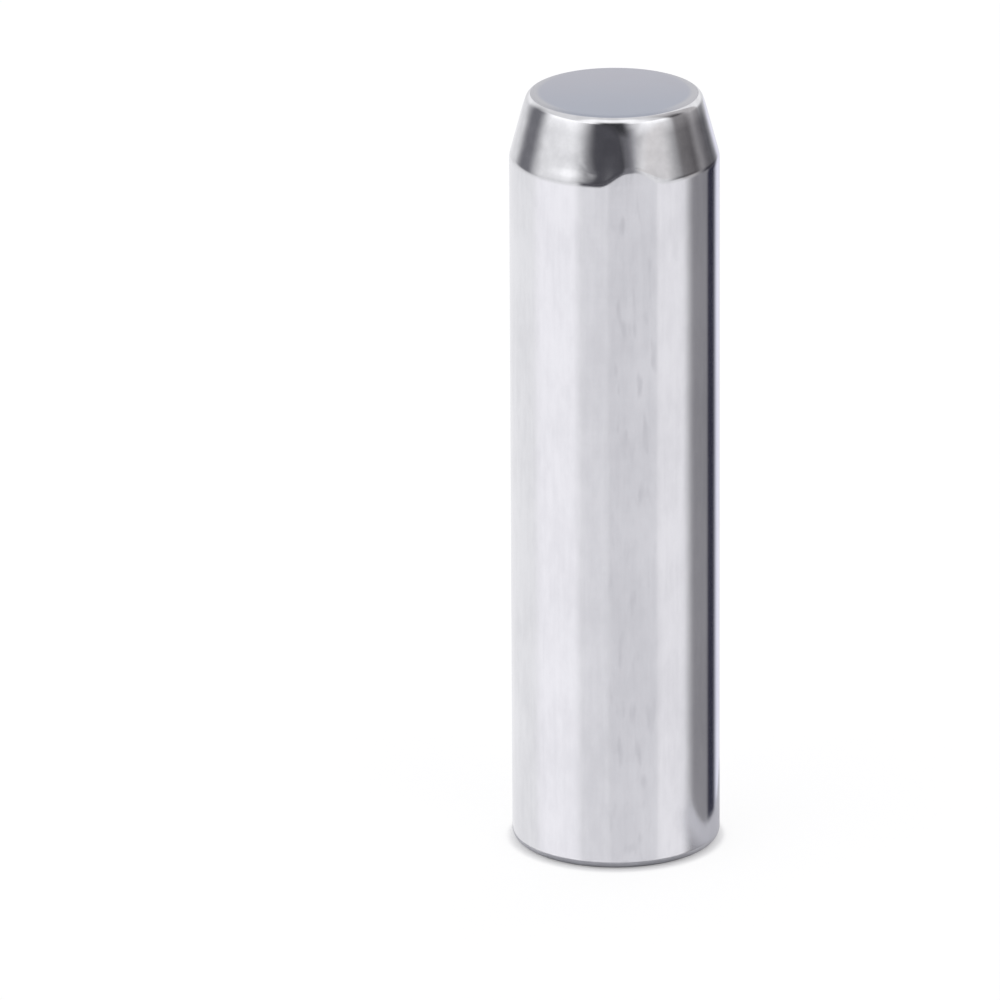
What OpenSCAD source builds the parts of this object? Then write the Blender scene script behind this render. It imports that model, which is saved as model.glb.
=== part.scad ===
// Hardened steel dowel pin with an internal pull-out thread.
// It stands on its threaded end, with the tapered lead end up and its axis on Z.
// The whole pin is one turned outline, measured outwards from the axis and upwards
// from the face that it stands on. The bore is at the tap drill's size.

/* [Shank] */
// Diameter of the ground shank
shank_d = 8; // [7:0.5:16]
// Length over both end faces
pin_l = 30; // [20:1:60]

/* [Lead end] */
// Length of the taper that guides the pin into its hole
taper_l = 2.5; // [1.5:0.1:4]
// Slope of the taper from the pin's axis, in degrees
taper_angle = 15; // [8:1:20]
// Radius that rounds the taper into the end face
nose_r = 0.4; // [0.1:0.05:0.5]
// Radius that blends the taper into the shank
shoulder_r = 1; // [0.4:0.1:3]

/* [Threaded end] */
// Radius of the rounded edge around the end face
foot_r = 0.4; // [0.2:0.05:0.6]
// Nominal diameter of the pull-out thread
thread_d = 5; // [3:0.5:5]
// Pitch of the thread, which the tap drill leaves standing
thread_pitch = 0.8; // [0.5:0.05:1]
// Depth of the hole to the end of its straight wall
hole_l = 12; // [8:0.5:16]
// Point angle of the tap drill, in degrees
drill_point = 118; // [90:1:140]
// Depth of the plain counterbore at the hole's mouth
counterbore_l = 1.2; // [0.6:0.1:2]
// How much wider than the thread that counterbore is
counterbore_clearance = 0.3; // [0.1:0.05:0.5]
// Width of the chamfer that breaks the mouth's edge
mouth_chamfer = 0.3; // [0.1:0.05:0.4]

/* [Hidden] */

// Steps of the full turn, and of each rounded edge
turn_steps = 144;
edge_steps = 8;

// Shank, and the centre of the blend where the taper starts
shank_r = shank_d / 2;
shoulder_reach = shoulder_r * tan(taper_angle / 2);
shoulder_c = [shank_r - shoulder_r, pin_l - taper_l - shoulder_reach];

// End face at the lead end, and the centre of its rounded edge
lead_face_r = shank_r - taper_l * tan(taper_angle) - nose_r * tan((90 - taper_angle) / 2);
nose_c = [lead_face_r, pin_l - nose_r];

// Centre of the rounded edge that the pin stands on
foot_c = [shank_r - foot_r, foot_r];

// Hole, from its mouth to the tip that the drill leaves
bore_r = (thread_d - thread_pitch) / 2;
drill_tip_l = bore_r / tan(drill_point / 2);
counterbore_r = (thread_d + counterbore_clearance) / 2;
counterbore_seat_l = (counterbore_r - bore_r) / tan(drill_point / 2);

// Points along a rounded edge about c, between two angles from the horizontal
function rounded(c, r, from, to) = [
    for (i = [0:edge_steps])
        let (angle = from + (to - from) * i / edge_steps)
            c + r * [cos(angle), sin(angle)]
];

// Hole's side of the half section, from the drill's tip down to the mouth
hole_outline = [
    [0, hole_l + drill_tip_l],
    [bore_r, hole_l],
    [bore_r, counterbore_l + counterbore_seat_l],
    [counterbore_r, counterbore_l],
    [counterbore_r, mouth_chamfer],
    [counterbore_r + mouth_chamfer, 0]
];

// Outer side of the half section, from the foot up to the middle of the lead end
outer_outline = [
    each rounded(foot_c, foot_r, -90, 0),
    each rounded(shoulder_c, shoulder_r, 0, taper_angle),
    each rounded(nose_c, nose_r, taper_angle, 90),
    [0, pin_l]
];

module dowel_pin() {
    color([0.78, 0.78, 0.8])
        rotate_extrude($fn = turn_steps)
            polygon(concat(hole_outline, outer_outline));
}

dowel_pin();
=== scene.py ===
"""Hardened steel dowel pin that stands on its threaded end, in a pale studio.

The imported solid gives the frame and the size. The pin is turned again here with its
thread and its uneven shoulder, and each region gets the finish that it is made with.
Sizes are in millimetres, and become metres where a mesh is made. A Station is a point of an
outline, outwards and upwards, and a Span is where something starts and stops.
"""

from __future__ import annotations

import logging
import math
from dataclasses import dataclass, field
from enum import Enum
from typing import Optional, Union

import bpy
from mathutils import Matrix, Vector

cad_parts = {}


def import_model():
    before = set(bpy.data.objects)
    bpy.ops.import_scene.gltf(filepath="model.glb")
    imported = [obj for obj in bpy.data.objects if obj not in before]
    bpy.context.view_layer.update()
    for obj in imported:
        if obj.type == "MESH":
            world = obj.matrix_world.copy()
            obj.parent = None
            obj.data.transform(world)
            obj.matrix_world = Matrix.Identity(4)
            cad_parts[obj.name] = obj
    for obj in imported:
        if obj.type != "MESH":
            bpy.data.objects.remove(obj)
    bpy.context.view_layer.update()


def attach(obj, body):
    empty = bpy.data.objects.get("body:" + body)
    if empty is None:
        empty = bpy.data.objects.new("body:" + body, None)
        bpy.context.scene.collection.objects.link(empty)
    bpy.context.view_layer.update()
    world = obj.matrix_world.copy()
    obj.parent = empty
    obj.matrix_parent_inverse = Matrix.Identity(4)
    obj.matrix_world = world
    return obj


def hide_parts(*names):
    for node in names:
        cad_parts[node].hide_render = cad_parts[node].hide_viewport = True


LOG = logging.getLogger("dowel_pin")
MM = 0.001
NODE = "dowel_pin"
BODY = "root"

WHITE = (1.0, 1.0, 1.0)

# Points closer than this become one, in metres
MERGE = 1e-6

Number = Union[int, float]
Inputs = dict[Union[str, int], object]
Colour = tuple[float, float, float]
Station = tuple[float, float]
Span = tuple[float, float]


def smooth_step(value: float, start: float, stop: float) -> float:
    """Rise smoothly from 0 at start to 1 at stop.

    Args:
        value: Where the step is read.
        start: Value at which the step leaves 0.
        stop: Value at which the step reaches 1.

    Returns:
        The height of the step, from 0 to 1.
    """
    share = min(max((value - start) / (stop - start), 0.0), 1.0)
    return share * share * (3.0 - 2.0 * share)


# Shader expressions


class Flow:
    """A node's output that can be used in a Python expression."""

    def __init__(self, board: Board, socket: bpy.types.NodeSocket) -> None:
        """Keep the socket and the board that its node stands on."""
        self.board = board
        self.socket = socket

    def _math(self, operation: str, *values: Union[Flow, Number]) -> Flow:
        """Add one Math node for an operation on values."""
        return self.board.read("ShaderNodeMath", {"operation": operation}, dict(enumerate(values)))

    def __add__(self, other: Union[Flow, Number]) -> Flow:
        """Add another value."""
        return self._math("ADD", self, other)

    def __radd__(self, other: Number) -> Flow:
        """Add this value to a number."""
        return self._math("ADD", other, self)

    def __sub__(self, other: Union[Flow, Number]) -> Flow:
        """Take another value away."""
        return self._math("SUBTRACT", self, other)

    def __rsub__(self, other: Number) -> Flow:
        """Take this value from a number."""
        return self._math("SUBTRACT", other, self)

    def __mul__(self, other: Union[Flow, Number]) -> Flow:
        """Multiply by another value."""
        return self._math("MULTIPLY", self, other)

    def __rmul__(self, other: Number) -> Flow:
        """Multiply a number by this value."""
        return self._math("MULTIPLY", other, self)

    def __neg__(self) -> Flow:
        """Turn the sign."""
        return self._math("MULTIPLY", self, -1.0)

    def root(self) -> Flow:
        """Take the square root."""
        return self._math("SQRT", self)

    def sine(self) -> Flow:
        """Take the sine of an angle in radians."""
        return self._math("SINE", self)

    def arc_sine(self) -> Flow:
        """Take the angle in degrees whose sine this is."""
        return self._math("ARCSINE", self) * math.degrees(1.0)

    def heading(self, across: Flow) -> Flow:
        """Take the angle in degrees of the arrow with this side and the one across."""
        return self._math("ARCTAN2", self, across) * math.degrees(1.0)

    def squared(self) -> Flow:
        """Multiply by itself."""
        return self * self

    def rise(self, start: float, stop: float) -> Flow:
        """Rise smoothly from 0 at start to 1 at stop.

        Args:
            start: Value at which the mask leaves 0.
            stop: Value at which the mask reaches 1.

        Returns:
            A mask from 0 to 1.
        """
        return self.board.read(
            "ShaderNodeMapRange",
            {"interpolation_type": "SMOOTHSTEP", "clamp": True},
            {"Value": self, "From Min": start, "From Max": stop, "To Min": 0.0, "To Max": 1.0},
        )

    def between(self, start: float, stop: float, soft: Span) -> Flow:
        """Mask the values from start to stop, with a soft edge at each end.

        Args:
            start: Middle of the lower edge.
            stop: Middle of the upper edge.
            soft: Half widths of the lower and of the upper edge.

        Returns:
            A mask from 0 to 1.
        """
        lower = self.rise(start - soft[0], start + soft[0])
        upper = self.rise(stop - soft[1], stop + soft[1])
        return lower * (1.0 - upper)


class Board:
    """A node tree on which shader expressions are laid out."""

    def __init__(self, tree: bpy.types.NodeTree) -> None:
        """Clear the tree and keep it."""
        self.tree = tree
        tree.nodes.clear()

    def add(
        self,
        kind: str,
        settings: Optional[dict[str, object]] = None,
        inputs: Optional[Inputs] = None,
    ) -> bpy.types.Node:
        """Add a node, set it and feed it.

        Args:
            kind: The node's type.
            settings: The node's own properties, set before its sockets.
            inputs: Values or flows for its input sockets, by name or number.

        Returns:
            The node.
        """
        node = self.tree.nodes.new(kind)
        for name, value in (settings or {}).items():
            setattr(node, name, value)
        for name, value in (inputs or {}).items():
            if isinstance(value, Flow):
                self.tree.links.new(value.socket, node.inputs[name])
            else:
                node.inputs[name].default_value = value
        return node

    def read(
        self,
        kind: str,
        settings: Optional[dict[str, object]] = None,
        inputs: Optional[Inputs] = None,
        output: Union[str, int] = 0,
    ) -> Flow:
        """Add a node and take one of its outputs.

        Args:
            kind: The node's type.
            settings: The node's own properties.
            inputs: Values or flows for its input sockets.
            output: The wanted output socket, by name or number.

        Returns:
            That output.
        """
        return Flow(self, self.add(kind, settings, inputs).outputs[output])

    def parts(self, vector: Flow) -> tuple[Flow, Flow, Flow]:
        """Split a vector.

        Args:
            vector: The vector.

        Returns:
            Its x, y and z.
        """
        node = self.add("ShaderNodeSeparateXYZ", {}, {"Vector": vector})
        x, y, z = (Flow(self, node.outputs[axis]) for axis in "XYZ")
        return x, y, z

    def stretched(self, vector: Flow, scale: tuple[float, float, float]) -> Flow:
        """Scale a vector by a factor for each axis."""
        return self.read("ShaderNodeVectorMath", {"operation": "MULTIPLY"}, {0: vector, 1: scale})

    def mixed(self, share: Flow, first: Union[Flow, Colour], second: Union[Flow, Colour]) -> Flow:
        """Mix two colours.

        Args:
            share: Share of the second colour.
            first: Colour where the share is 0.
            second: Colour where the share is 1.

        Returns:
            The mixed colour.
        """
        inputs: Inputs = {0: share}
        for number, colour in ((6, first), (7, second)):
            inputs[number] = colour if isinstance(colour, Flow) else (*colour, 1.0)
        return self.read("ShaderNodeMix", {"data_type": "RGBA", "blend_type": "MIX"}, inputs, 2)

    def noise(self, place: Flow, scale: float, detail: float = 2.0) -> Flow:
        """Read a noise pattern.

        Args:
            place: Where it is read.
            scale: How many features it has in a millimetre.
            detail: How many finer layers it has.

        Returns:
            Its value, about 0.5 on average.
        """
        return self.read("ShaderNodeTexNoise", {}, {"Vector": place, "Scale": scale, "Detail": detail})

    def bump(self, height: Flow, depth: float) -> Flow:
        """Turn a height pattern into a bent normal.

        Args:
            height: The pattern, from 0 to 1.
            depth: Depth of the pattern in millimetres.

        Returns:
            The normal.
        """
        inputs: Inputs = {"Height": height, "Strength": 1.0, "Distance": depth * MM}
        return self.read("ShaderNodeBump", {}, inputs)

    def mix_shader(self, share: Flow, first: Flow, second: Flow) -> Flow:
        """Mix two shaders.

        Args:
            share: Share of the second shader.
            first: Shader where the share is 0.
            second: Shader where the share is 1.

        Returns:
            The mixed shader.
        """
        return self.read("ShaderNodeMixShader", {}, {0: share, 1: first, 2: second})


class FinishBoard(Board):
    """The node tree of one finish."""

    def __init__(self, name: str) -> None:
        """Make the material and open its tree.

        Args:
            name: Name of the material.
        """
        self.material = bpy.data.materials.new(name)
        self.material.use_nodes = True
        super().__init__(self.material.node_tree)

    def place(self) -> Flow:
        """Read the place on the piece in millimetres."""
        raw = self.read("ShaderNodeTexCoord", {}, {}, "Object")
        return self.stretched(raw, (1.0 / MM, 1.0 / MM, 1.0 / MM))

    def from_axis(self, place: Flow) -> Flow:
        """Measure how far a place is from the pin's axis."""
        x, y, _ = self.parts(place)
        return (x.squared() + y.squared()).root()

    def marks(self, place: Flow, width: float, length: float, detail: float = 3.0) -> Flow:
        """Read a noise pattern of marks that differ in size across the pin and along it.

        Args:
            place: Where it is read.
            width: Width of the marks.
            length: Length of the marks.
            detail: How many finer layers they have.

        Returns:
            Its value, about 0.5 on average.
        """
        scaled = self.stretched(place, (1.0 / width, 1.0 / width, 1.0 / length))
        return self.noise(scaled, 1.0, detail)

    def close(self, inputs: Inputs) -> bpy.types.Material:
        """Feed the metal shader and show it.

        Args:
            inputs: Values or flows for its sockets.

        Returns:
            The material.
        """
        shader = self.read("ShaderNodeBsdfPrincipled", {}, {"Metallic": 1.0, **inputs}, "BSDF")
        self.add("ShaderNodeOutputMaterial", {}, {"Surface": shader})
        return self.material


# Finishes of the pin


class Region(Enum):
    """A region of the pin's surface, with the number of its material slot."""

    SHANK = 0
    TAPER = 1
    LEAD_FACE = 2
    THREADED_FACE = 3
    HOLE = 4


@dataclass(frozen=True)
class GroundShank:
    """Ground and polished shank: grinding lines run round it, smudges and streaks along it.

    The shares say how much each pattern adds to the polish, whose tone goes from dark to pale
    over polish_range. The scuffs lie on the camera's side, within scuff_x.
    """

    dark: Colour = (0.741, 0.741, 0.760)
    pale: Colour = (0.824, 0.824, 0.841)
    scuff: Colour = (0.69, 0.69, 0.71)
    polish_range: Span = (-0.3, 0.3)
    smudge_width: float = 0.4
    smudge_length: float = 0.95
    smudge_share: float = 0.6
    cloud_pitch: float = 4.0
    cloud_share: float = 1.0
    streak_width: float = 0.2
    streak_length: float = 4.0
    streak_share: float = 0.35
    scuff_width: float = 0.4
    scuff_length: float = 1.5
    scuff_detail: float = 1.5
    scuff_range: Span = (0.54, 0.76)
    scuff_x: Span = (-0.2, 1.6)
    scuff_x_soft: Span = (0.4, 0.3)
    scuff_y: Span = (-1.0, 0.0)
    line_width: float = 2.5
    line_pitch: float = 0.12
    line_depth: float = 0.00012
    line_blur: float = 0.6
    quarter_turn: float = 0.25
    roughness: float = 0.15
    roughness_spread: float = 0.04

    def polish(self, board: FinishBoard, place: Flow) -> Flow:
        """Lay out the tone that polishing left, from 0 to 1.

        Args:
            board: The finish's tree.
            place: Where it is read.

        Returns:
            Share of the pale tone.
        """
        smudges = board.marks(place, self.smudge_width, self.smudge_length)
        clouds = board.noise(place, 1.0 / self.cloud_pitch, 1.0)
        streaks = board.marks(place, self.streak_width, self.streak_length)
        tone = self.smudge_share * (smudges - 0.5) + self.cloud_share * (clouds - 0.5)
        tone = tone + self.streak_share * (streaks - 0.5)
        return tone.rise(*self.polish_range)

    def scuffs(self, board: FinishBoard, place: Flow) -> Flow:
        """Lay out the small dark scuffs, from 0 to 1.

        Args:
            board: The finish's tree.
            place: Where it is read.

        Returns:
            Share of the scuffs' tone.
        """
        x, y, _ = board.parts(place)
        worn = x.between(*self.scuff_x, self.scuff_x_soft) * (1.0 - y.rise(*self.scuff_y))
        marks = board.marks(place, self.scuff_width, self.scuff_length, self.scuff_detail)
        return worn * marks.rise(*self.scuff_range)

    def dress(self) -> bpy.types.Material:
        """Make the material.

        Returns:
            The material.
        """
        board = FinishBoard("ground_shank")
        place = board.place()
        polished = board.mixed(self.polish(board, place), self.dark, self.pale)
        lines = board.marks(place, self.line_width, self.line_pitch, 2.0)
        return board.close({
            "Base Color": board.mixed(self.scuffs(board, place), polished, self.scuff),
            "Roughness": self.roughness + self.roughness_spread * (lines - 0.5),
            "Anisotropic": self.line_blur,
            "Anisotropic Rotation": self.quarter_turn,
            "Normal": board.bump(lines, self.line_depth),
        })


@dataclass(frozen=True)
class PolishedTaper:
    """Polished taper and rounded edges, a little smoother than the shank."""

    dark: Colour = (0.735, 0.735, 0.75)
    pale: Colour = (0.815, 0.815, 0.83)
    cloud_pitch: float = 0.5
    cloud_range: Span = (0.3, 0.7)
    wave_depth: float = 0.0005
    roughness: float = 0.11
    roughness_spread: float = 0.05

    def dress(self) -> bpy.types.Material:
        """Make the material.

        Returns:
            The material.
        """
        board = FinishBoard("polished_taper")
        place = board.place()
        clouds = board.noise(place, 1.0 / self.cloud_pitch, 3.0)
        return board.close({
            "Base Color": board.mixed(clouds.rise(*self.cloud_range), self.dark, self.pale),
            "Roughness": self.roughness + self.roughness_spread * (clouds - 0.5),
            "Normal": board.bump(clouds, self.wave_depth),
        })


@dataclass(frozen=True)
class LappedFaceWithPaintedReflection:
    """Grey lapped end face at the lead end, with painted reflection in its colour: darker and
    bluish in front, lighter at both sides' rim.

    The painted reflection's tint turns from bluish to neutral from front to back, over tint_reach
    on both sides of the axis, and wavers by tint_waver.
    """

    # Painted reflection: the darker bluish tone painted on the front of the face
    painted_front_reflection: Colour = (0.453, 0.476, 0.541)
    neutral: Colour = (0.516, 0.517, 0.567)
    # Painted reflection: the lighter tone painted on the rim at both sides
    rim: Colour = (0.57, 0.57, 0.595)
    tint_reach: float = 3.0
    tint_waver: float = 2.5
    painted_rim_radii: Span = (2.78, 3.02)
    side_squared: Span = (1.5, 7.5)
    cloud_pitch: float = 0.9
    grain_pitch: float = 0.06
    grain_depth: float = 0.0006
    roughness: float = 0.45
    roughness_spread: float = 0.08

    def dress(self) -> bpy.types.Material:
        """Make the material.

        Returns:
            The material.
        """
        board = FinishBoard("lapped_face_with_painted_reflection")
        place = board.place()
        x, y, _ = board.parts(place)
        # Mask of the painted reflection on the rim at the left and right sides
        painted_side_reflection = board.from_axis(place).rise(*self.painted_rim_radii) * x.squared().rise(*self.side_squared)
        clouds = board.noise(place, 1.0 / self.cloud_pitch, 3.0)
        grain = board.noise(place, 1.0 / self.grain_pitch, 2.0)
        # Painted reflection: bluish in front, fading to the face's neutral grey towards the back
        tint = (y + self.tint_waver * (clouds - 0.5)).rise(-self.tint_reach, self.tint_reach)
        return board.close({
            "Base Color": board.mixed(painted_side_reflection, board.mixed(tint, self.painted_front_reflection, self.neutral), self.rim),
            "Roughness": self.roughness + self.roughness_spread * (clouds - 0.5),
            "Normal": board.bump(grain, self.grain_depth),
        })


@dataclass(frozen=True)
class TurnedFace:
    """Dull end face round the hole, with the turning tool's concentric marks and some stain."""

    dark: Colour = (0.40, 0.405, 0.44)
    pale: Colour = (0.56, 0.56, 0.59)
    tone_range: Span = (0.25, 0.75)
    stain_pitch: float = 0.625
    stain_tone: float = 0.7
    mark_pitch: float = 0.16
    mark_depth: float = 0.0022
    mark_height: float = 0.7
    waver: float = 0.12
    waver_scale: float = 0.7
    roughness: float = 0.34
    roughness_spread: float = 0.14

    def dress(self) -> bpy.types.Material:
        """Make the material.

        Returns:
            The material.
        """
        board = FinishBoard("turned_face")
        place = board.place()
        stain = board.noise(place, 1.0 / self.stain_pitch, 3.0)
        waver = self.waver * board.noise(place, self.waver_scale, 1.0)
        turns = (board.from_axis(place) + waver) * (math.tau / self.mark_pitch)
        marks = turns.sine() * 0.5 + 0.5
        tone = stain * self.stain_tone + marks * (1.0 - self.stain_tone)
        height = marks * self.mark_height + stain * (1.0 - self.mark_height)
        return board.close({
            "Base Color": board.mixed(tone.rise(*self.tone_range), self.dark, self.pale),
            "Roughness": self.roughness + self.roughness_spread * (stain - 0.5),
            "Normal": board.bump(height, self.mark_depth),
        })


@dataclass(frozen=True)
class OiledHole:
    """Dark tapped hole with a film of oil on its walls, worn bright on the thread's crests."""

    dark: Colour = (0.10, 0.10, 0.11)
    worn: Colour = (0.42, 0.42, 0.44)
    stain_pitch: float = 0.5
    stain_range: Span = (0.3, 0.7)
    stain_depth: float = 0.003
    crest: Span = (2.16, 2.32)
    roughness: float = 0.30
    roughness_spread: float = 0.2

    def dress(self) -> bpy.types.Material:
        """Make the material.

        Returns:
            The material.
        """
        board = FinishBoard("oiled_hole")
        place = board.place()
        stain = board.noise(place, 1.0 / self.stain_pitch, 3.0)
        bright = (1.0 - board.from_axis(place).rise(*self.crest)) * stain.rise(*self.stain_range)
        return board.close({
            "Base Color": board.mixed(bright, self.dark, self.worn),
            "Roughness": self.roughness + self.roughness_spread * (stain - 0.5),
            "Normal": board.bump(stain, self.stain_depth),
        })


# Pieces of the object


class Bench:
    """Small helpers for modelling by hand in edit mode."""

    @staticmethod
    def clear_selection() -> None:
        """Leave edit mode and deselect everything."""
        if bpy.context.object and bpy.context.object.mode != "OBJECT":
            bpy.ops.object.mode_set(mode="OBJECT")
        bpy.ops.object.select_all(action="DESELECT")

    @staticmethod
    def seed(name: str, point: Vector) -> bpy.types.Object:
        """Start a mesh that is one point, ready to be extruded.

        Args:
            name: Name of the object and of its mesh.
            point: Place of the point, in metres.

        Returns:
            The object, in edit mode with its point selected.
        """
        Bench.clear_selection()
        bpy.ops.mesh.primitive_plane_add(size=MM, location=(0.0, 0.0, 0.0))
        seed = bpy.context.object
        seed.name = name
        seed.data.name = name
        bpy.ops.object.mode_set(mode="EDIT")
        bpy.ops.mesh.select_all(action="SELECT")
        bpy.ops.mesh.merge(type="CENTER")
        bpy.ops.transform.translate(value=point)
        return seed

    @staticmethod
    def draw_on(points: list[Vector]) -> None:
        """Extrude the selected point through the rest of a chain.

        Args:
            points: The chain, which starts where the selected point is.
        """
        for here, there in zip(points, points[1:]):
            bpy.ops.mesh.extrude_region_move(TRANSFORM_OT_translate={"value": there - here})

    @staticmethod
    def select(piece: bpy.types.Object) -> None:
        """Make a piece the only selected one.

        Args:
            piece: The piece.
        """
        Bench.clear_selection()
        piece.select_set(True)
        bpy.context.view_layer.objects.active = piece


@dataclass
class ThreadCutter:
    """The coil of steel that a tap takes out of the bore."""

    nominal_d: float = 5.0
    pitch: float = 0.8
    flank_angle: float = 30.0
    root_flat: float = 0.1
    inner_r: float = 1.95
    start_z: float = 0.75
    length: float = 8.4
    steps: int = 72

    def section(self) -> list[Vector]:
        """Lay out the groove's section.

        Returns:
            Its corners in metres, from the inner lower one.
        """
        outer_r = self.nominal_d / 2
        half_root = self.root_flat / 2
        half_mouth = half_root + (outer_r - self.inner_r) * math.tan(math.radians(self.flank_angle))
        corners = [
            (self.inner_r, -half_mouth),
            (outer_r, -half_root),
            (outer_r, half_root),
            (self.inner_r, half_mouth),
        ]
        return [Vector((radius, 0.0, self.start_z + height)) * MM for radius, height in corners]

    def build(self) -> bpy.types.Object:
        """Coil the section and close its two ends.

        Returns:
            The cutter, in object mode.
        """
        corners = self.section()
        cutter = Bench.seed("thread_cutter", corners[0])
        Bench.draw_on([*corners, corners[0]])
        bpy.ops.mesh.select_all(action="SELECT")
        bpy.ops.mesh.remove_doubles(threshold=MERGE)
        bpy.ops.object.mode_set(mode="OBJECT")
        coil = cutter.modifiers.new("coil", "SCREW")
        coil.axis = "Z"
        coil.angle = math.tau
        coil.screw_offset = self.pitch * MM
        coil.iterations = round(self.length / self.pitch)
        coil.steps = self.steps
        coil.render_steps = self.steps
        coil.use_smooth_shade = False
        bpy.ops.object.modifier_apply(modifier=coil.name)
        self._close_ends(cutter)
        return cutter

    def _close_ends(self, cutter: bpy.types.Object) -> None:
        """Put a face on both open ends and turn all faces outwards.

        Args:
            cutter: The open coil.
        """
        middle = (self.start_z + self.length / 2) * MM
        for upper in (False, True):
            Bench.select(cutter)
            bpy.ops.object.mode_set(mode="EDIT")
            bpy.ops.mesh.select_mode(type="EDGE")
            bpy.ops.mesh.select_all(action="DESELECT")
            bpy.ops.mesh.select_non_manifold(extend=False, use_boundary=True, use_wire=False)
            bpy.ops.object.mode_set(mode="OBJECT")
            points = cutter.data.vertices
            for edge in cutter.data.edges:
                height = (points[edge.vertices[0]].co.z + points[edge.vertices[1]].co.z) / 2
                edge.select = edge.select and (height > middle) == upper
            bpy.ops.object.mode_set(mode="EDIT")
            bpy.ops.mesh.edge_face_add()
        bpy.ops.mesh.select_all(action="SELECT")
        bpy.ops.mesh.normals_make_consistent(inside=False)
        bpy.ops.object.mode_set(mode="OBJECT")


@dataclass
class Shoulder:
    """The uneven line where the taper was ground into the shank, seen on the camera's side.

    Angles are in degrees round the pin from the camera's side, to the right. The lip reaches
    up by lip_rise from lip_peak to lip_hold, and leans in by lip_tilt. The scrape is deepest at
    the upper end of scrape_z and runs out at scrape_end_z. Right of scrape_bend it sinks, and
    its right edge fans out upwards.
    """

    foot_z: float = 27.2
    height: float = 27.5
    top_z: float = 29.73
    blend: float = 0.13
    lip_rise: float = 0.56
    lip_start: float = -8.7
    lip_peak: float = 7.3
    lip_hold: float = 11.0
    lip_stop: float = 30.0
    lip_tilt: float = 1.0
    scrape_depth: float = 0.027
    scrape_z: Span = (27.68, 28.04)
    scrape_end_z: float = 28.85
    scrape_start: float = -35.0
    scrape_start_soft: float = 6.0
    scrape_stop: float = -11.5
    scrape_stop_soft: float = 4.5
    scrape_bend: float = -22.0
    scrape_sink: float = 0.14
    scrape_fan: float = 24.0
    dent_angle: float = 24.0
    dent_z: float = 27.62
    dent_r: float = 0.09
    dent_depth: float = 0.012

    def lip_z(self, angle: float) -> float:
        """Give the height that the shank's ground surface reaches.

        Args:
            angle: Angle round the pin.

        Returns:
            Height of its upper edge.
        """
        up = smooth_step(angle, self.lip_start, self.lip_peak)
        down = smooth_step(angle, self.lip_hold, self.lip_stop)
        return self.height + self.lip_rise * up * (1.0 - down)

    def drop(self, angle: float, z: float, fall: float) -> float:
        """Work out how far in from the shank the lip and the taper are.

        Args:
            angle: Angle round the pin.
            z: Height.
            fall: How far in the taper is at its even upper end.

        Returns:
            Distance inwards.
        """
        lip = self.lip_z(angle)
        tilt = math.tan(math.radians(self.lip_tilt))
        slope = (fall - tilt * (lip - self.height)) / (self.top_z - lip)
        above = min(max(z - lip + self.blend, 0.0), 2 * self.blend)
        bend = above * above / (4 * self.blend) + max(z - lip - self.blend, 0.0)
        return tilt * min(max(z - self.height, 0.0), lip - self.height) + slope * bend

    def scrape(self, angle: float, z: float) -> float:
        """Work out how deep the scrape is.

        Args:
            angle: Angle round the pin.
            z: Height.

        Returns:
            Depth of the scrape.
        """
        raised = z + self.scrape_sink * smooth_step(angle, self.scrape_bend, self.scrape_stop)
        fan = self.scrape_fan * max(raised - self.scrape_z[1], 0.0)
        soft = self.scrape_start_soft
        window = smooth_step(angle, self.scrape_start - soft, self.scrape_start + soft)
        soft = self.scrape_stop_soft
        window *= 1.0 - smooth_step(angle, self.scrape_stop - soft - fan, self.scrape_stop + soft)
        depth = self.scrape_depth * window * smooth_step(raised, *self.scrape_z)
        return depth * (1.0 - smooth_step(raised, self.scrape_z[1], self.scrape_end_z))

    def dent(self, angle: float, z: float, shank_r: float) -> float:
        """Work out how deep the dent is.

        Args:
            angle: Angle round the pin.
            z: Height.
            shank_r: Radius of the shank.

        Returns:
            Depth of the dent.
        """
        side = math.radians(angle - self.dent_angle) * shank_r
        reach = math.hypot(side, z - self.dent_z)
        return self.dent_depth * (1.0 - smooth_step(reach, 0.0, self.dent_r))

    def radius(self, angle: float, z: float, shank_r: float, top_r: float) -> float:
        """Work out how far out the uneven surface is.

        Args:
            angle: Angle round the pin.
            z: Height.
            shank_r: Radius of the shank.
            top_r: Radius of the taper at its even upper end.

        Returns:
            Radius of the uneven surface, never more than the shank's.
        """
        even = shank_r - self.drop(angle, z, shank_r - top_r)
        return even - self.scrape(angle, z) - self.dent(angle, z, shank_r)


@dataclass(frozen=True)
class Rows:
    """Evenly spaced heights at which the outline has a point."""

    start: float
    step: float
    count: int

    def heights(self) -> list[float]:
        """Lay the heights out from the lowest."""
        return [self.start + self.step * number for number in range(self.count)]


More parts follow.
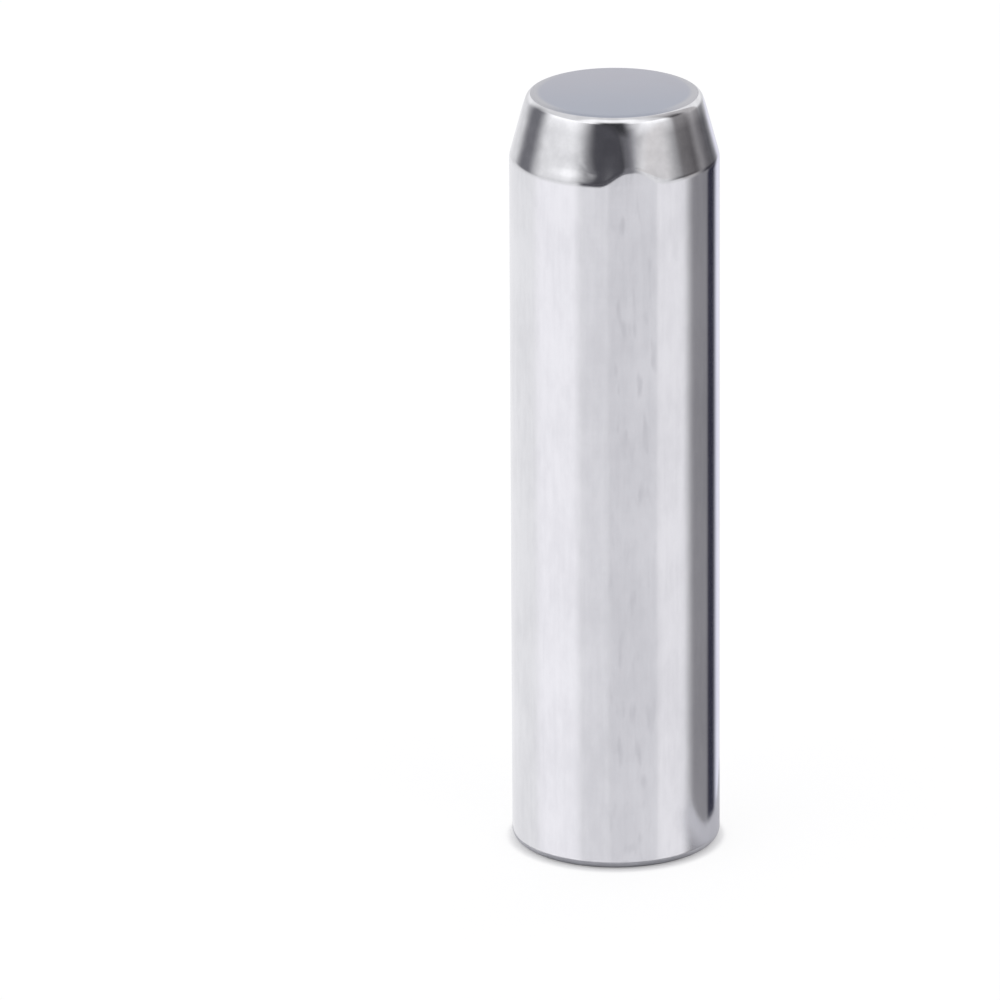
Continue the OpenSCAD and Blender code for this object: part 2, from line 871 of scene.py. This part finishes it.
@dataclass
class DowelPin:
    """The whole pin, turned from one outline.

    The crown draws the taper in above crown_z, until its slope is nose_from where the rounded
    rim starts. The rings and rows are where the outline's straight stretches have points. A
    face is lapped or turned where its normal's height is past lapped_over or turned_under.
    """

    shank_r: float = 4.0
    length: float = 30.0
    taper_l: float = 2.5
    taper_angle: float = 15.0
    nose_r: float = 0.4
    nose_from: float = 20.0
    crown_z: float = 29.25
    shoulder_r: float = 1.0
    foot_r: float = 0.4
    bore_r: float = 2.1
    hole_l: float = 12.0
    drill_point: float = 118.0
    counterbore_r: float = 2.65
    counterbore_l: float = 1.2
    mouth_chamfer: float = 0.3
    threaded_face_rings: tuple[float, ...] = (3.1, 3.3, 3.5)
    shank_rows: tuple[float, ...] = (1.0, 4.0, 8.0, 12.0, 16.0, 20.0, 24.0, 26.0, 27.0)
    taper_rows: tuple[Rows, ...] = (Rows(27.2, 0.03, 40), Rows(28.4, 0.1, 9), Rows(29.25, 0.06, 8))
    lead_face_rings: tuple[float, ...] = (2.7, 2.0, 1.0, 0.0)
    turn_steps: int = 360
    edge_steps: int = 12
    lapped_over: float = 0.87
    turned_under: float = -0.99
    smooth_under: float = 28.0
    cutter: ThreadCutter = field(default_factory=ThreadCutter)
    shoulder: Shoulder = field(default_factory=Shoulder)

    @property
    def nose_z(self) -> float:
        """Height at which the taper passes into the rounded rim."""
        return self.length - self.nose_r + self.nose_r * math.sin(math.radians(self.nose_from))

    def rounded(self, centre: Station, radius: float, start: float, stop: float) -> list[Station]:
        """Lay out a rounded edge.

        Args:
            centre: Centre of the edge, outwards and upwards.
            radius: Radius of the edge.
            start: Angle of its first point, from the horizontal.
            stop: Angle of its last point.

        Returns:
            Its points.
        """
        points = []
        for step in range(self.edge_steps + 1):
            angle = math.radians(start + (stop - start) * step / self.edge_steps)
            points.append((centre[0] + radius * math.cos(angle), centre[1] + radius * math.sin(angle)))
        return points

    def crown(self, z: float) -> float:
        """Give how far polishing has drawn in the taper's upper end at a height."""
        turn = math.tan(math.radians(self.nose_from - self.taper_angle))
        return turn * max(z - self.crown_z, 0.0) ** 2 / (2 * (self.nose_z - self.crown_z))

    def even_r(self, z: float) -> float:
        """Give the radius of the straight taper and its blend into the shank.

        Args:
            z: Height.

        Returns:
            Radius of the even surface.
        """
        slope = math.radians(self.taper_angle)
        base_z = self.length - self.taper_l
        blend_z = base_z - self.shoulder_r * math.tan(slope / 2)
        if z <= blend_z:
            return self.shank_r
        if z <= blend_z + self.shoulder_r * math.sin(slope):
            reach = math.sqrt(self.shoulder_r ** 2 - (z - blend_z) ** 2)
            return self.shank_r - self.shoulder_r + reach
        return self.shank_r - (z - base_z) * math.tan(slope)

    def outline(self) -> list[Station]:
        """Lay out the half section.

        Returns:
            Its points, from the drill's tip round to the middle of the lead face.
        """
        half_point = math.radians(self.drill_point / 2)
        seat_l = (self.counterbore_r - self.bore_r) / math.tan(half_point)
        rim = self.nose_r * math.cos(math.radians(self.nose_from))
        lead_face_r = self.even_r(self.nose_z) - self.crown(self.nose_z) - rim
        hole = [
            (0.0, self.hole_l + self.bore_r / math.tan(half_point)),
            (self.bore_r, self.hole_l),
            (self.bore_r, self.counterbore_l + seat_l),
            (self.counterbore_r, self.counterbore_l),
            (self.counterbore_r, self.mouth_chamfer),
            (self.counterbore_r + self.mouth_chamfer, 0.0),
        ]
        threaded_face = [(radius, 0.0) for radius in self.threaded_face_rings]
        foot = self.rounded((self.shank_r - self.foot_r, self.foot_r), self.foot_r, -90.0, 0.0)
        shank = [(self.shank_r, z) for z in self.shank_rows]
        heights = [z for rows in self.taper_rows for z in rows.heights()]
        taper = [(self.even_r(z) - self.crown(z), z) for z in heights]
        nose = self.rounded((lead_face_r, self.length - self.nose_r), self.nose_r, self.nose_from, 90.0)
        lead_face = [(radius, self.length) for radius in self.lead_face_rings]
        return [*hole, *threaded_face, *foot, *shank, *taper, *nose, *lead_face]

    def turn(self) -> bpy.types.Object:
        """Turn the outline on the pin's axis.

        Returns:
            The even pin, closed and facing outwards.
        """
        points = [Vector((radius, 0.0, z)) * MM for radius, z in self.outline()]
        pin = Bench.seed("pin", points[0])
        Bench.draw_on(points)
        bpy.ops.mesh.select_all(action="SELECT")
        bpy.ops.mesh.spin(
            steps=self.turn_steps, angle=math.tau, center=(0.0, 0.0, 0.0), axis=(0.0, 0.0, 1.0)
        )
        bpy.ops.mesh.select_all(action="SELECT")
        bpy.ops.mesh.remove_doubles(threshold=MERGE)
        bpy.ops.mesh.normals_make_consistent(inside=False)
        bpy.ops.object.mode_set(mode="OBJECT")
        return pin

    def tap(self, pin: bpy.types.Object) -> None:
        """Cut the thread into the bore and merge the slivers that the cut leaves.

        Args:
            pin: The turned pin.
        """
        cutter = self.cutter.build()
        Bench.select(pin)
        cut = pin.modifiers.new("tap", "BOOLEAN")
        cut.operation = "DIFFERENCE"
        cut.solver = "EXACT"
        cut.object = cutter
        bpy.ops.object.modifier_apply(modifier=cut.name)
        bpy.data.objects.remove(cutter, do_unlink=True)
        bpy.ops.object.mode_set(mode="EDIT")
        bpy.ops.mesh.select_all(action="SELECT")
        bpy.ops.mesh.dissolve_degenerate(threshold=MERGE)
        bpy.ops.mesh.remove_doubles(threshold=MERGE)
        bpy.ops.object.mode_set(mode="OBJECT")

    def wear_shoulder(self, pin: bpy.types.Object) -> None:
        """Move the points near the shoulder onto the uneven line.

        Args:
            pin: The turned pin.
        """
        top_r = self.even_r(self.shoulder.top_z)
        for vertex in pin.data.vertices:
            x, y, z = vertex.co / MM
            plain = math.hypot(x, y)
            if self.shoulder.foot_z < z < self.shoulder.top_z:
                angle = math.degrees(math.atan2(x, -y))
                worn = self.shoulder.radius(angle, z, self.shank_r, top_r) - self.crown(z)
                vertex.co = Vector((x * worn / plain, y * worn / plain, z)) * MM

    def region(self, centre: Vector, normal: Vector) -> Region:
        """Tell which region a face belongs to.

        Args:
            centre: Middle of the face, in millimetres.
            normal: The way it faces.

        Returns:
            Its region.
        """
        radius = math.hypot(centre.x, centre.y)
        angle = math.degrees(math.atan2(centre.x, -centre.y))
        if centre.z > self.shoulder.top_z and normal.z > self.lapped_over:
            return Region.LEAD_FACE
        if centre.z > self.shoulder.lip_z(angle):
            return Region.TAPER
        if radius < self.counterbore_r:
            return Region.HOLE
        if normal.z < self.turned_under:
            return Region.THREADED_FACE
        if centre.z < self.foot_r:
            return Region.TAPER
        return Region.SHANK

    def dress(self, pin: bpy.types.Object) -> None:
        """Give each region its finish and smooth the shading between its faces.

        Args:
            pin: The finished mesh.
        """
        finishes = {
            Region.SHANK: GroundShank(),
            Region.TAPER: PolishedTaper(),
            Region.LEAD_FACE: LappedFaceWithPaintedReflection(),
            Region.THREADED_FACE: TurnedFace(),
            Region.HOLE: OiledHole(),
        }
        pin.data.materials.clear()
        for region in Region:
            pin.data.materials.append(finishes[region].dress())
        for face in pin.data.polygons:
            face.material_index = self.region(face.center / MM, face.normal).value
        Bench.select(pin)
        bpy.ops.object.shade_smooth_by_angle(angle=math.radians(self.smooth_under))

    def build(self) -> bpy.types.Object:
        """Turn, tap, wear and dress the pin, and put it in the frame.

        Returns:
            The finished piece.
        """
        pin = self.turn()
        self.wear_shoulder(pin)
        self.tap(pin)
        self.dress(pin)
        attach(pin, BODY)
        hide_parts(NODE)
        return pin


# Studio


@dataclass(frozen=True)
class Screen:
    """A soft-edged screen far from the pin, which shows in its polished surface.

    Directions are in degrees: round from the camera's side to the right, and upwards.
    """

    name: str
    tone: Colour
    around: Span
    upward: Span
    around_soft: Span = (2.0, 2.0)
    upward_soft: Span = (3.0, 3.0)

    def hang(self, board: Board, heading: Flow, climb: Flow, behind: Flow) -> Flow:
        """Put the screen in front of what is there.

        Args:
            board: The world's tree.
            heading: Direction round the pin.
            climb: Direction upwards.
            behind: Colours so far.

        Returns:
            Colours with the screen.
        """
        across = heading.between(*self.around, self.around_soft)
        cover = across * climb.between(*self.upward, self.upward_soft)
        shown = board.mixed(cover, behind, self.tone)
        shown.socket.node.label = self.name
        return shown


@dataclass
class Studio:
    """A pale tent with a few screens, as used for polished metal.

    The shank shows the screens that hang under the horizon, and the taper the upper ones. A
    later screen covers the earlier ones.
    """

    tent: Colour = (0.812, 0.812, 0.83)
    ceiling: Colour = (1.395, 1.395, 1.415)
    ceiling_range: Span = (-5.5, 34.5)
    screens: tuple[Screen, ...] = (
        # Under the horizon
        Screen("far_left", (0.92, 0.92, 0.94), (-200.0, -97.0), (-60.0, -12.0), (3.0, 9.0)),
        Screen("left_wall", (1.03, 1.02, 1.06), (-97.0, -38.5), (-60.0, -12.0), (9.0, 9.0)),
        Screen("front_left", (0.85, 0.845, 0.88), (-38.5, -7.0), (-60.0, -13.0), (9.0, 2.0)),
        Screen("front_table", (0.774, 0.769, 0.805), (-7.0, 47.5), (-60.0, -12.0), (2.0, 2.0)),
        Screen("right_table", (0.92, 0.91, 0.945), (47.5, 89.0), (-60.0, -12.0), (2.0, 10.0)),
        Screen("far_right", (0.85, 0.85, 0.97), (140.0, 168.0), (-60.0, -9.5), (3.0, 8.0)),
        Screen("grey_screen", (0.285, 0.28, 0.30), (89.0, 126.0), (-60.0, -10.0), (10.0, 2.0)),
        Screen("dark_screen", (0.033, 0.033, 0.055), (123.5, 145.0), (-60.0, -9.5), (2.0, 8.0)),
        # Over the pin and behind it
        Screen("zenith", (0.807, 0.807, 0.825), (-200.0, 200.0), (33.5, 100.0), (3.0, 3.0), (4.5, 3.0)),
        Screen("left_back", (0.83, 0.83, 0.845), (-200.0, -114.0), (19.5, 60.0), (3.0, 12.0), (11.0, 3.0)),
        Screen("right_back", (0.95, 0.95, 0.965), (115.5, 200.0), (8.0, 60.0), (12.0, 3.0), (8.0, 3.0)),
        Screen("front_light", (1.18, 1.18, 1.195), (-55.0, 50.0), (32.0, 74.0), (9.0, 13.0), (4.0, 5.5)),
        # Beside the taper
        Screen("left_stripe", (0.19, 0.19, 0.21), (-134.5, -98.0), (-6.5, 30.0), (14.5, 12.0), (3.0, 16.0)),
        Screen("right_haze", (0.775, 0.755, 0.76), (30.5, 68.0), (6.5, 16.0), (2.0, 16.0), (2.0, 2.5)),
        Screen("right_screen", (0.535, 0.52, 0.53), (79.0, 130.0), (-9.5, 62.0), (3.5, 2.0), (2.0, 16.0)),
        Screen("right_bar", (0.042, 0.037, 0.042), (65.5, 107.0), (-3.0, 9.0), (12.0, 8.5), (3.0, 15.0)),
        Screen("right_edge", (0.038, 0.036, 0.048), (105.5, 148.5), (-11.0, 0.5), (16.0, 16.0), (2.0, 10.0)),
        Screen("right_hook", (0.083, 0.078, 0.083), (77.5, 104.5), (16.0, 40.5), (10.5, 9.0), (13.5, 14.5)),
        # In front of the taper
        Screen("hood_foot", (0.050, 0.048, 0.062), (-38.0, 18.0), (-9.0, 6.0), (5.0, 4.0), (2.0, 8.0)),
        Screen("fringe_side", (0.485, 0.475, 0.485), (25.0, 45.0), (15.0, 20.0), (3.5, 12.5), (2.0, 5.0)),
        Screen("hood_fringe", (0.213, 0.21, 0.232), (0.5, 30.0), (-7.0, 29.0), (2.0, 15.0), (7.0, 4.0)),
        Screen("hood", (0.081, 0.08, 0.092), (-37.0, 3.5), (2.5, 25.5), (16.0, 5.0), (2.0, 3.0)),
        Screen("hood_top", (0.039, 0.039, 0.044), (-23.5, 17.5), (22.0, 41.0), (10.0, 8.0), (3.5, 13.0)),
    )

    def build(self) -> bpy.types.World:
        """Make the world that the pin reflects, plain white where the camera sees it.

        Returns:
            The world.
        """
        world = bpy.data.worlds.new("studio")
        bpy.context.scene.world = world
        world.use_nodes = True
        # Broad soft screens need no map of where the light is
        world.cycles.sampling_method = "NONE"
        board = Board(world.node_tree)
        x, y, z = board.parts(board.read("ShaderNodeTexCoord", {}, {}, "Generated"))
        heading = x.heading(-y)
        climb = z.arc_sine()
        colours = board.mixed(climb.rise(*self.ceiling_range), self.tent, self.ceiling)
        for screen in self.screens:
            colours = screen.hang(board, heading, climb, colours)
        lit = board.read("ShaderNodeBackground", {}, {"Color": colours, "Strength": 1.0})
        white = board.read("ShaderNodeBackground", {}, {"Color": (*WHITE, 1.0), "Strength": 1.0})
        seen = board.read("ShaderNodeLightPath", {}, {}, "Is Camera Ray")
        board.add("ShaderNodeOutputWorld", {}, {"Surface": board.mix_shader(seen, lit, white)})
        return world


@dataclass
class Floor:
    """Pale table under the pin, which the camera and the metal see in their own ways.

    The camera sees it glow by lift_near beside the foot and by lift farther out, so that it is
    white and keeps the pin's shade. The metal sees a shade beside the foot, darker in front,
    and a patch on the right that ends at a slanting line behind the pin. The rest of the table
    lets it see the tent. Turns are in degrees from the camera's side, to the right.
    """

    side: float = 2400.0
    drop: float = 0.01
    colour: Colour = (0.99, 0.99, 0.995)
    lift: float = 0.75
    lift_near: float = 0.3
    lift_edge: Span = (4.0, 4.32)
    glow: float = 1.08
    shade: Colour = (0.58, 0.58, 0.61)
    side_shade: Colour = (0.75, 0.75, 0.78)
    shade_turn: Span = (-48.0, 52.0)
    shade_edge: Span = (4.23, 4.43)
    patch: Colour = (0.76, 0.76, 0.80)
    patch_turn: Span = (62.0, 165.0)
    patch_edge: Span = (8.5, 10.5)
    turn_soft: Span = (12.0, 12.0)
    wall_x: Span = (6.05, 6.55)
    wall_skew: float = 0.6
    wall_front: Span = (2.9, 3.3)

    def build(self) -> bpy.types.Object:
        """Lay the table.

        Returns:
            The table.
        """
        Bench.clear_selection()
        bpy.ops.mesh.primitive_plane_add(size=self.side * MM, location=(0.0, 0.0, 0.0))
        table = bpy.context.object
        table.name = "table"
        bpy.ops.object.mode_set(mode="EDIT")
        bpy.ops.mesh.select_all(action="SELECT")
        bpy.ops.transform.translate(value=(0.0, 0.0, -self.drop * MM))
        bpy.ops.object.mode_set(mode="OBJECT")
        table.data.materials.append(self.paint())
        return table

    def shown_in_metal(self, board: FinishBoard) -> Flow:
        """Lay out what the metal sees of the table.

        Args:
            board: The paint's tree.

        Returns:
            The shader.
        """
        place = board.place()
        x, y, _ = board.parts(place)
        radius = board.from_axis(place)
        turn = x.heading(-y)
        near = 1.0 - radius.rise(*self.shade_edge)
        far = 1.0 - radius.rise(*self.patch_edge)
        wall = x.rise(*self.wall_x) * (y + x * self.wall_skew).rise(*self.wall_front)
        patch = turn.between(*self.patch_turn, self.turn_soft) * far * (1.0 - wall)
        front = turn.between(*self.shade_turn, self.turn_soft)
        shade = board.mixed(front, self.side_shade, self.shade)
        dark = board.read("ShaderNodeBsdfDiffuse", {}, {"Color": shade})
        clear = board.read("ShaderNodeBsdfTransparent", {}, {})
        side = board.read("ShaderNodeBsdfDiffuse", {}, {"Color": (*self.patch, 1.0)})
        return board.mix_shader(near, board.mix_shader(patch, clear, side), dark)

    def paint(self) -> bpy.types.Material:
        """Make the table's paint.

        Returns:
            The material.
        """
        board = FinishBoard("pale_table")
        rays = board.add("ShaderNodeLightPath")
        glossy = Flow(board, rays.outputs["Is Glossy Ray"])
        seen = Flow(board, rays.outputs["Is Camera Ray"])
        reach = board.from_axis(board.place()).rise(*self.lift_edge)
        lift = self.lift_near + (self.lift - self.lift_near) * reach
        pale = board.read("ShaderNodeBsdfDiffuse", {}, {"Color": (*self.colour, 1.0)})
        white = board.read("ShaderNodeEmission", {}, {"Color": (*WHITE, 1.0), "Strength": self.glow})
        by_eye = board.mix_shader(seen * lift, pale, white)
        surface = board.mix_shader(glossy, by_eye, self.shown_in_metal(board))
        board.add("ShaderNodeOutputMaterial", {}, {"Surface": surface})
        return board.material


@dataclass
class PhotoCamera:
    """Camera at the photograph's viewing angle, without shift.

    Angles are in degrees. The pin stands right of the frame's middle and a little above it,
    so the camera is turned to the left and down.
    """

    distance: float = 500.0
    elevation: float = 18.82
    target_z: float = 15.0
    lens: float = 470.6
    sensor: float = 36.0
    clip: Span = (10.0, 20000.0)
    turned_left: float = 0.505
    turned_down: float = 0.146
    roll: float = -0.14

    def build(self) -> bpy.types.Object:
        """Set the camera up and make it the scene's.

        Returns:
            The camera.
        """
        data = bpy.data.cameras.new("camera")
        data.lens = self.lens
        data.sensor_width = self.sensor
        data.clip_start, data.clip_end = (reach * MM for reach in self.clip)
        camera = bpy.data.objects.new("camera", data)
        bpy.context.scene.collection.objects.link(camera)
        tilt = math.radians(self.elevation)
        away = Vector((0.0, -math.cos(tilt), math.sin(tilt))) * self.distance * MM
        aim = Matrix.Rotation(math.pi / 2 - tilt, 4, "X")
        aside = Matrix.Rotation(math.radians(self.turned_left), 4, "Y")
        down = Matrix.Rotation(math.radians(-self.turned_down), 4, "X")
        lean = Matrix.Rotation(math.radians(self.roll), 4, "Z")
        place = Matrix.Translation(Vector((0.0, 0.0, self.target_z * MM)) + away)
        camera.matrix_world = place @ aim @ aside @ down @ lean
        bpy.context.scene.camera = camera
        return camera


def main() -> None:
    """Build the scene in order and report each piece."""
    logging.basicConfig(level=logging.INFO, format="%(name)s: %(message)s")
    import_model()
    camera = PhotoCamera().build()
    LOG.info("camera %.1f mm from the foot's middle", camera.location.length / MM)
    pin = DowelPin().build()
    LOG.info("%s has %d faces", pin.name, len(pin.data.polygons))
    table = Floor().build()
    LOG.info("%s laid", table.name)
    world = Studio().build()
    LOG.info("%s hung", world.name)
    bpy.context.scene.view_settings.view_transform = "Standard"


if __name__ == "__main__":
    main()
